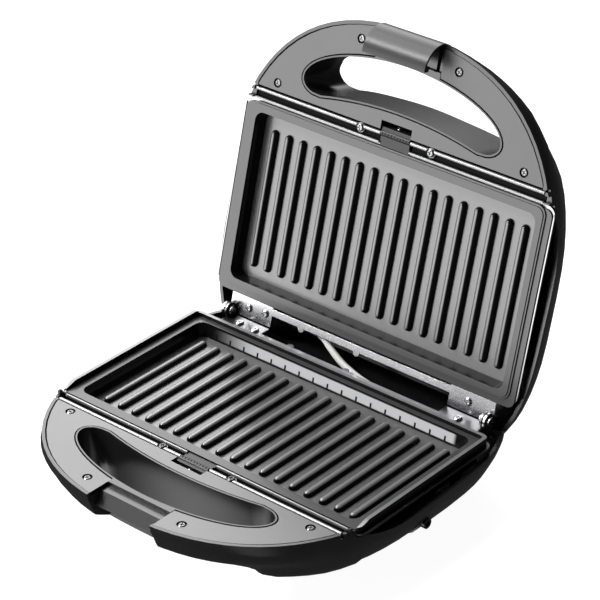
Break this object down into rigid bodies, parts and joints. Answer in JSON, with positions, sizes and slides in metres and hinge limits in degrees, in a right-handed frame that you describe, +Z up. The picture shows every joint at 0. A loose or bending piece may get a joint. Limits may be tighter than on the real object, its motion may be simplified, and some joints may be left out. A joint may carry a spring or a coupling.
{
  "type": "panini press",
  "caption": "Open clamshell contact grill with ribbed removable plates, dished housings, handle cut-outs, a half-round latch and sprung plate releases.",
  "frame": {"origin": "centre of the whole open press's box on X and Y, on the surface that the rubber feet stand on", "axes": "+Z up; -Y towards the handle and the latch, +Y towards the hinge; +X to the right seen from the handle"},
  "size_m": [0.2478, 0.2873, 0.2485],
  "materials": {
    "body_plastic": "satin black",
    "panel_plastic": "satin dark grey",
    "coated_plate": "non-stick coating, satin dark grey",
    "tray_steel": "rolled",
    "element_steel": "oxidised",
    "dark_screw": "dark zinc",
    "rubber": "matte",
    "sleeve_fabric": "woven glass fibre",
    "white_ceramic": "unglazed",
    "red_lens": "translucent",
    "lamp_glass": "clear",
    "bright_steel": "zinc plated"
  },
  "bodies": {
    "base": {"base_housing": "body_plastic", "base_handle_panel": "panel_plastic", "base_panel_screws": "dark_screw", "base_bezel": "panel_plastic", "base_bezel_screws": "bright_steel", "base_heater_tray": "tray_steel", "base_tray_screws": "bright_steel", "base_heating_element": "element_steel", "base_button_spring": "bright_steel", "base_hinge_bar": "bright_steel", "base_hinge_screws": "bright_steel", "hinge_pins": "bright_steel", "rubber_feet": "rubber", "thermostat": "white_ceramic", "thermal_fuse": "bright_steel", "terminal_block": "white_ceramic", "cord_inlet_bush": "rubber", "wire_sleeve": "sleeve_fabric"},
    "lid": {"lid_housing": "body_plastic", "lid_handle_panel": "panel_plastic", "lid_panel_screws": "dark_screw", "lid_bezel": "panel_plastic", "lid_bezel_screws": "bright_steel", "lid_heater_tray": "tray_steel", "lid_tray_screws": "bright_steel", "lid_heating_element": "element_steel", "lid_button_spring": "bright_steel", "lid_hinge_bar": "bright_steel", "lid_hinge_screws": "bright_steel", "latch_pivot_pin": "bright_steel", "lamp_lenses": "red_lens", "neon_lamps": "lamp_glass"},
    "latch": {"latch": "body_plastic"},
    "base_plate": {"base_grill_plate": "coated_plate"},
    "lid_plate": {"lid_grill_plate": "coated_plate"},
    "base_button": {"base_release_button": "body_plastic"},
    "lid_button": {"lid_release_button": "body_plastic"}
  },
  "joints": [
    {"name": "lid_hinge", "type": "hinge", "parent": "base", "child": "lid", "pos_m": [0, 0.06659, 0.044], "axis": [-1, 0, 0], "range_deg": [-104.65, 0], "deforming": ["wire_sleeve"]},
    {"name": "latch_pivot", "type": "hinge", "parent": "lid", "child": "latch", "pos_m": [0, 0.1267, 0.23242], "axis": [-1, 0, 0], "range_deg": [0, 28]},
    {"name": "base_button_slide", "type": "slide", "parent": "base", "child": "base_button", "axis": [0, -1, 0], "range_m": [0, 0.0035], "stiffness_N_per_m": 600, "springref_m": -0.003, "deforming": ["base_button_spring"]},
    {"name": "lid_button_slide", "type": "slide", "parent": "lid", "child": "lid_button", "axis": [0, 0.2529, 0.9675], "range_m": [0, 0.0035], "stiffness_N_per_m": 600, "springref_m": -0.003, "deforming": ["lid_button_spring"]},
    {"name": "base_plate_lift", "type": "slide", "parent": "base", "child": "base_plate", "axis": [0, 0, 1], "range_m": [0, 0.018]},
    {"name": "lid_plate_lift", "type": "slide", "parent": "lid", "child": "lid_plate", "axis": [0, -0.9675, 0.2529], "range_m": [0, 0.018]}
  ]
}
